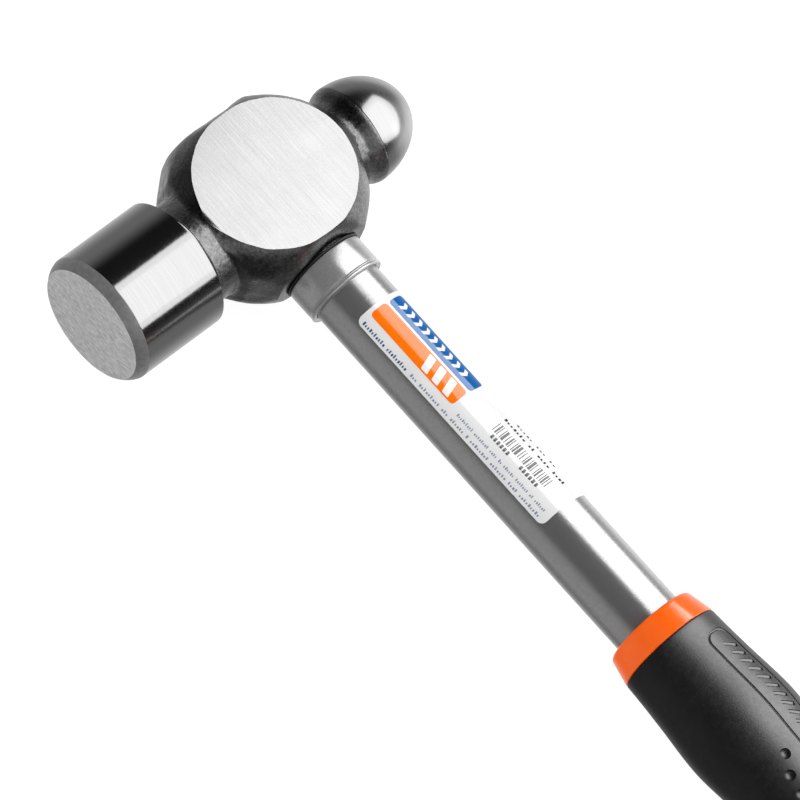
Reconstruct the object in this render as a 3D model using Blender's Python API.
"""Ball peen hammer with a forged head, a tubular steel handle and a rubber grip.

The hammer lies on its side. X runs along the handle towards the grip, Y along the
head towards the ball, and Z up through the cheeks. The origin is on the floor, in the
middle of the hammer's footprint. Lengths are written in millimetres and scaled to
metres by MM. Along the handle they are measured from the centre of the head's eye.
"""

import math

import bmesh
import bpy
from mathutils import Matrix, Vector

MM = 0.001
GAP = 0.3                  # clearance between neighbouring pieces
SEAL_GAP = 0.1             # clearance on each side of the squeezed seal
SEGMENTS = 48              # facets round a turned piece

# Head, measured from the eye's centre along the head (minus is the striking face)
FACE_AT = -64.0
FACE_RADIUS = 17.6
FACE_BEVEL = 3.2
POLL_RADIUS = 19.5
POLL_BACK = -33.2
POLL_CORNER = 0.5
POLL_NECK_AT = -30.3
POLL_NECK_RADIUS = 15.75
BALL_NECK_AT = 28.2
BALL_NECK_RADIUS = 13.6
BALL_RIM = 33.0
BALL_RADIUS = 15.3
BALL_TIP = 51.7                     # the ball is drawn out along the head
BODY_HALF = (27.6, 29.8, 26.2)     # half axes of the forged body along X, Y and Z
CHEEK_HALF = 16.1                  # the two flat cheeks
CROWN_HALF = 24.3                  # the flat crown and the flat underside
EYE_RADIUS = 11.7
EYE_MOUTH = 12.3                   # the eye opens towards the crown

# Handle tube and what holds it in the head
TUBE_RADIUS = 10.6
TUBE_WALL = 2.0
TUBE_FLARE = 0.6
TUBE_TOP = -23.8
TUBE_END = 296.0
FLARE_END = -8.0
PLUG_LENGTH = 12.0
RESIN_SKIN = 0.5
SEAL_RADIUS = 12.8
SEAL_HEIGHT = 0.7
COLLAR_RADIUS = 12.2
COLLAR_END = 35.1
COLLAR_BEAD = 0.55                 # radius of the bead rolled on the collar's lower rim

# Label round the tube, angles from straight up towards the ball
LABEL_START, LABEL_END = 44.6, 120.8
LABEL_FROM, LABEL_TO = math.radians(-44), math.radians(137)
LABEL_THICK = 0.3

# Grip: an orange core with a ring in front, and the rubber moulded over it
RING_START, RING_END = 159.1, 167.3
RING_RADIUS = 14.0
CORE_RADIUS = 13.0
CORE_END = 299.0
SLEEVE_FLOOR = 299.6
BUTT = 325.7
BUTT_ROUND = 5.0
# stations along the sleeve: distance, half height across the cheeks' plane, half thickness
SLEEVE_STATIONS = (
    (RING_END + GAP, 15.5, 15.5),
    (180.0, 16.2, 16.2),
    (197.0, 17.55, 17.4),
    (209.0, 16.8, 16.5),
    (228.0, 15.9, 15.4),
    (245.0, 15.9, 15.2),
    (262.0, 17.2, 16.2),
    (278.0, 18.0, 16.8),
    (296.0, 17.4, 16.7),
    (308.0, 18.6, 17.8),
    (319.0, 20.5, 19.5),
    (BUTT, 20.0, 19.0),
)
HANG_HOLE_AT = 311.5
HANG_HOLE_RADIUS = 4.5

# The eye's centre in the hammer's own frame
EYE_CENTRE = Vector((
    (CROWN_HALF - BUTT) / 2,
    -(FACE_AT + BALL_TIP) / 2,
    POLL_RADIUS,
))

# name: (colour, metallic, roughness)
FINISHES = {
    "forged_steel": ((0.060, 0.062, 0.066), 1.0, 0.42),
    "satin_steel": ((0.60, 0.60, 0.60), 1.0, 0.32),
    "bonding_resin": ((0.030, 0.030, 0.032), 0.0, 0.55),
    "black_seal": ((0.015, 0.015, 0.016), 0.0, 0.60),
    "printed_film": ((0.86, 0.86, 0.86), 0.0, 0.35),
    "orange_plastic": ((0.90, 0.17, 0.02), 0.0, 0.40),
    "black_rubber": ((0.020, 0.020, 0.022), 0.0, 0.62),
    "grey_plastic": ((0.20, 0.20, 0.21), 0.0, 0.50),
}


def clear_scene():
    """Remove every object that a new file starts with."""
    for old in list(bpy.data.objects):
        bpy.data.objects.remove(old, do_unlink=True)


def finish(name):
    """Return the material of this finish, made once."""
    known = bpy.data.materials.get(name)
    if known:
        return known
    colour, metallic, roughness = FINISHES[name]
    made = bpy.data.materials.new(name)
    made.use_nodes = True
    shader = made.node_tree.nodes["Principled BSDF"]
    shader.inputs["Base Color"].default_value = (*colour, 1.0)
    shader.inputs["Metallic"].default_value = metallic
    shader.inputs["Roughness"].default_value = roughness
    return made


def add_object(name, mesh, parent, finish_name=None):
    """Put a mesh, drawn about the eye's centre, under the eye's empty."""
    piece = bpy.data.objects.new(name, mesh)
    bpy.context.collection.objects.link(piece)
    piece.parent = parent
    if finish_name:
        mesh.materials.append(finish(finish_name))
        mesh.shade_smooth()
        mesh.set_sharp_from_angle(angle=math.radians(32))
    return piece


def mesh_from(bm, name):
    """Turn a bmesh into a mesh in metres, faces out."""
    bmesh.ops.recalc_face_normals(bm, faces=bm.faces)
    bmesh.ops.scale(bm, vec=(MM, MM, MM), verts=bm.verts)
    mesh = bpy.data.meshes.new(name)
    bm.to_mesh(mesh)
    bm.free()
    return mesh


def turned(name, profile, along="X", closed=False, segments=SEGMENTS):
    """Turn a profile of (distance, radius) points about the X or Y axis.

    A closed profile makes a ring with a bore. An open one starts and ends on the axis.
    """
    bm = bmesh.new()
    rings = []
    for distance, radius in profile:
        if radius == 0:
            rings.append([bm.verts.new((distance, 0, 0))])
            continue
        rings.append([
            bm.verts.new((distance, radius * math.cos(turn), radius * math.sin(turn)))
            for turn in (math.tau * step / segments for step in range(segments))
        ])
    pairs = list(zip(rings, rings[1:]))
    if closed:
        pairs.append((rings[-1], rings[0]))
    for first, second in pairs:
        join_rings(bm, first, second)
    if along == "Y":
        bmesh.ops.rotate(bm, verts=bm.verts, matrix=Matrix.Rotation(math.pi / 2, 3, "Z"))
    return mesh_from(bm, name)


def join_rings(bm, first, second):
    """Face the strip between two rings, or the fan between a ring and a point."""
    count = max(len(first), len(second))
    for here in range(count):
        after = (here + 1) % count
        if len(first) == 1:
            bm.faces.new((first[0], second[here], second[after]))
        elif len(second) == 1:
            bm.faces.new((first[here], first[after], second[0]))
        else:
            bm.faces.new((first[here], first[after], second[after], second[here]))


def arc(centre, radius, start, end, steps):
    """Points on an arc, angles in degrees from the axis of turning."""
    points = []
    for step in range(steps + 1):
        turn = math.radians(start + (end - start) * step / steps)
        points.append((centre[0] + radius * math.cos(turn), centre[1] + radius * math.sin(turn)))
    return points


def eased(first, second, share):
    """Go from first to second along half a cosine wave."""
    return first + (second - first) * (1 - math.cos(math.pi * share)) / 2


def smooth_curve(points, share, index):
    """Read a Catmull-Rom curve through the points, between point index and the next."""
    before = points[max(index - 1, 0)]
    start = points[index]
    end = points[index + 1]
    after = points[min(index + 2, len(points) - 1)]
    return tuple(
        0.5 * (2 * b + (c - a) * share + (2 * a - 5 * b + 4 * c - d) * share ** 2
               + (3 * b - a - 3 * c + d) * share ** 3)
        for a, b, c, d in zip(before, start, end, after)
    )


def hidden_cutter(piece):
    """Keep a cutting or joining shape out of the model itself."""
    piece.hide_render = True
    piece.display_type = "WIRE"
    return piece


def add_boolean(piece, other, operation):
    """Cut, join or intersect a piece with another shape."""
    modifier = piece.modifiers.new(other.name, "BOOLEAN")
    modifier.operation = operation
    modifier.solver = "EXACT"
    modifier.object = other


def box_mesh(name, half):
    """A block about the eye's centre from its half sizes."""
    bm = bmesh.new()
    bmesh.ops.create_cube(bm, size=2.0)
    bmesh.ops.scale(bm, vec=half, verts=bm.verts)
    return mesh_from(bm, name)


def head_profile():
    """The turned parts of the head in one line: poll, necks and ball."""
    points = [(FACE_AT, 0), (FACE_AT, FACE_RADIUS)]
    bevel_steps = 4
    rise = POLL_RADIUS - FACE_RADIUS
    for step in range(1, bevel_steps + 1):
        turn = math.pi / 2 * step / bevel_steps
        points.append((
            FACE_AT + FACE_BEVEL * (1 - math.cos(turn)),
            FACE_RADIUS + rise * math.sin(turn),
        ))
    points += arc((POLL_BACK - POLL_CORNER, POLL_RADIUS - POLL_CORNER), POLL_CORNER, 90, 15, 3)
    neck_start = points[-1]
    neck_steps = 4
    for step in range(1, neck_steps + 1):
        turn = math.pi / 2 * step / neck_steps
        points.append((
            neck_start[0] + (POLL_NECK_AT - neck_start[0]) * (1 - math.cos(turn)),
            neck_start[1] + (POLL_NECK_RADIUS - neck_start[1]) * math.sin(turn),
        ))
    points.append((0.0, POLL_NECK_RADIUS - 1))
    points.append((BALL_NECK_AT, BALL_NECK_RADIUS))
    flare_steps = 3
    for step in range(1, flare_steps + 1):
        share = step / flare_steps
        points.append((
            BALL_NECK_AT + (BALL_RIM - BALL_NECK_AT) * share,
            eased(BALL_NECK_RADIUS, BALL_RADIUS, share),
        ))
    ball_steps = 12
    for step in range(1, ball_steps):
        turn = math.pi / 2 * step / ball_steps
        points.append((
            BALL_RIM + (BALL_TIP - BALL_RIM) * math.sin(turn), BALL_RADIUS * math.cos(turn),
        ))
    points.append((BALL_TIP, 0))
    return points


def make_head(eye):
    """Forged head: turned poll and ball, swollen body cut flat, and the eye through it."""
    head = add_object("hammer_head", turned("hammer_head", head_profile(), along="Y"),
                      eye, "forged_steel")

    bm = bmesh.new()
    bmesh.ops.create_uvsphere(bm, u_segments=SEGMENTS, v_segments=24, radius=1.0,
                              matrix=Matrix.Rotation(math.pi / 2, 4, "X"))
    bmesh.ops.scale(bm, vec=BODY_HALF, verts=bm.verts)
    body = hidden_cutter(add_object("body_shape", mesh_from(bm, "body_shape"), eye))
    flats = hidden_cutter(add_object(
        "body_flats", box_mesh("body_flats", (CROWN_HALF, 2 * BODY_HALF[1], CHEEK_HALF)), eye))
    add_boolean(body, flats, "INTERSECT")

    reach = BODY_HALF[0] + 2
    slope = (EYE_RADIUS - EYE_MOUTH) / (2 * CROWN_HALF)
    middle = (EYE_RADIUS + EYE_MOUTH) / 2
    bore = turned("eye_cutter", [
        (-reach, 0), (-reach, middle - slope * reach), (reach, middle + slope * reach), (reach, 0),
    ])
    cutter = hidden_cutter(add_object("eye_cutter", bore, eye))
    add_boolean(head, body, "UNION")
    add_boolean(head, cutter, "DIFFERENCE")


def eye_radius_at(distance):
    """Radius of the eye at a distance along the handle."""
    share = (distance + CROWN_HALF) / (2 * CROWN_HALF)
    return EYE_MOUTH + (EYE_RADIUS - EYE_MOUTH) * share


def make_tube(eye):
    """Steel tube: belled out a little in the head, plain for the rest of its length."""
    inner = TUBE_RADIUS - TUBE_WALL
    profile = [
        (TUBE_TOP, TUBE_RADIUS + TUBE_FLARE), (FLARE_END, TUBE_RADIUS), (TUBE_END, TUBE_RADIUS),
        (TUBE_END, inner), (FLARE_END, inner), (TUBE_TOP, inner + TUBE_FLARE),
    ]
    add_object("handle_tube", turned("handle_tube", profile, closed=True), eye, "satin_steel")


def make_expander_plug(eye):
    """Tapered steel plug driven into the tube's top end to spread it in the eye."""
    large = TUBE_RADIUS - TUBE_WALL + TUBE_FLARE - GAP
    chamfer = 0.6
    slope = TUBE_FLARE / (FLARE_END - TUBE_TOP)
    small = large - slope * PLUG_LENGTH
    top = TUBE_TOP + 0.2
    profile = [
        (top, 0), (top, large - chamfer), (top + chamfer, large - slope * chamfer),
        (top + PLUG_LENGTH - chamfer, small), (top + PLUG_LENGTH, small - chamfer),
        (top + PLUG_LENGTH, 0),
    ]
    add_object("expander_plug", turned("expander_plug", profile), eye, "satin_steel")


def make_eye_resin(eye):
    """Resin that bonds the tube in the eye, from crown to underside."""
    top, end = TUBE_TOP, CROWN_HALF - GAP
    profile = [
        (top, eye_radius_at(top) - GAP),
        (end, eye_radius_at(end) - GAP),
        (end, eye_radius_at(end) - GAP - RESIN_SKIN),
        (FLARE_END, TUBE_RADIUS + GAP),
        (top, TUBE_RADIUS + TUBE_FLARE + GAP),
    ]
    add_object("eye_resin", turned("eye_resin", profile, closed=True), eye, "bonding_resin")


def make_neck_seal(eye):
    """Black ring squeezed between the head's underside and the collar."""
    start = CROWN_HALF + SEAL_GAP
    bulge = SEAL_HEIGHT / 2
    outer = arc((start + bulge, SEAL_RADIUS - bulge), bulge, 180, 0, 6)
    profile = outer + [(start + SEAL_HEIGHT, TUBE_RADIUS + GAP), (start, TUBE_RADIUS + GAP)]
    add_object("neck_seal", turned("neck_seal", profile, closed=True), eye, "black_seal")


def make_collar(eye):
    """Steel sleeve below the head, with a bead rolled on its lower rim."""
    start = CROWN_HALF + SEAL_GAP + SEAL_HEIGHT + SEAL_GAP
    chamfer = 0.4
    bead = arc((COLLAR_END - COLLAR_BEAD, COLLAR_RADIUS), COLLAR_BEAD, 180, 0, 6)
    profile = [(start, COLLAR_RADIUS - chamfer), (start + chamfer, COLLAR_RADIUS)] + bead
    profile += [(COLLAR_END, TUBE_RADIUS + GAP), (start, TUBE_RADIUS + GAP)]
    add_object("head_collar", turned("head_collar", profile, closed=True), eye, "satin_steel")


def make_label(eye):
    """Printed film label wrapped part of the way round the tube."""
    bm = bmesh.new()
    steps = 20
    inner = TUBE_RADIUS + GAP
    corners = (
        (LABEL_START, inner), (LABEL_START, inner + LABEL_THICK),
        (LABEL_END, inner + LABEL_THICK), (LABEL_END, inner),
    )
    rings = []
    for step in range(steps + 1):
        turn = LABEL_FROM + (LABEL_TO - LABEL_FROM) * step / steps
        rings.append([
            bm.verts.new((x, radius * math.sin(turn), radius * math.cos(turn)))
            for x, radius in corners
        ])
    for first, second in zip(rings, rings[1:]):
        join_rings(bm, first, second)
    bm.faces.new(rings[0])
    bm.faces.new(rings[-1])
    add_object("label", mesh_from(bm, "label"), eye, "printed_film")


def make_grip_core(eye):
    """Orange core of the grip: a ring in front and a sleeve under the rubber."""
    front = SLEEVE_STATIONS[0][1]
    corner = 1.2
    bore = TUBE_RADIUS + GAP
    profile = arc((RING_START + corner, RING_RADIUS - corner), corner, 180, 90, 4)
    profile += [
        (RING_END, front), (RING_END, CORE_RADIUS), (CORE_END, CORE_RADIUS),
        (CORE_END, bore), (RING_START, bore),
    ]
    add_object("grip_core", turned("grip_core", profile, closed=True), eye, "orange_plastic")


def oval_ring(bm, distance, half_height, half_thickness, segments=SEGMENTS):
    """A ring of points across the handle, an oval with the given half axes."""
    return [
        bm.verts.new((distance, half_height * math.cos(turn), half_thickness * math.sin(turn)))
        for turn in (math.tau * step / segments for step in range(segments))
    ]


def sleeve_sections():
    """Half axes along the rubber sleeve, with the butt rounded over at its end."""
    sections = []
    between = 2
    for index in range(len(SLEEVE_STATIONS) - 2):
        sections += [smooth_curve(SLEEVE_STATIONS, step / between, index) for step in range(between)]
    _, high, thick = SLEEVE_STATIONS[-2]
    round_steps = 5
    start = BUTT - BUTT_ROUND
    for step in range(round_steps + 1):
        turn = math.pi / 2 * step / round_steps
        inset = BUTT_ROUND * (1 - math.cos(turn))
        sections.append((start + BUTT_ROUND * math.sin(turn), high - inset, thick - inset))
    return sections


def make_grip_sleeve(eye):
    """Rubber sleeve over the core, closed at the butt, with a hole to hang it by."""
    bm = bmesh.new()
    rings = [oval_ring(bm, *section) for section in sleeve_sections()]
    for first, second in zip(rings, rings[1:]):
        join_rings(bm, first, second)
    bm.faces.new(rings[-1])
    bore = CORE_RADIUS + GAP
    mouth = oval_ring(bm, RING_END + GAP, bore, bore)
    floor = oval_ring(bm, SLEEVE_FLOOR, bore, bore)
    join_rings(bm, rings[0], mouth)
    join_rings(bm, mouth, floor)
    bm.faces.new(floor)
    sleeve = add_object("grip_sleeve", mesh_from(bm, "grip_sleeve"), eye, "black_rubber")

    reach = 30.0
    hole = turned("hang_hole", [
        (-reach, 0), (-reach, HANG_HOLE_RADIUS), (reach, HANG_HOLE_RADIUS), (reach, 0),
    ], segments=24)
    cutter = hidden_cutter(add_object("hang_hole", hole, eye))
    cutter.location = (HANG_HOLE_AT * MM, 0, 0)
    cutter.rotation_euler = (0, math.pi / 2, 0)
    add_boolean(sleeve, cutter, "DIFFERENCE")


def make_butt_plug(eye):
    """Plastic plug that closes the tube inside the butt of the grip."""
    stem = TUBE_RADIUS - TUBE_WALL - GAP
    flange_start = TUBE_END + GAP
    flange_end = flange_start + 2.0
    profile = [
        (TUBE_END - PLUG_LENGTH, 0), (TUBE_END - PLUG_LENGTH, stem - 1.0),
        (TUBE_END - PLUG_LENGTH + 1.0, stem), (flange_start, stem),
        (flange_start, TUBE_RADIUS), (flange_end, TUBE_RADIUS), (flange_end, 0),
    ]
    add_object("butt_plug", turned("butt_plug", profile), eye, "grey_plastic")


def main():
    clear_scene()
    eye = bpy.data.objects.new("eye_centre", None)
    bpy.context.collection.objects.link(eye)
    eye.location = EYE_CENTRE * MM
    make_head(eye)
    make_tube(eye)
    make_expander_plug(eye)
    make_eye_resin(eye)
    make_neck_seal(eye)
    make_collar(eye)
    make_label(eye)
    make_grip_core(eye)
    make_grip_sleeve(eye)
    make_butt_plug(eye)


main()
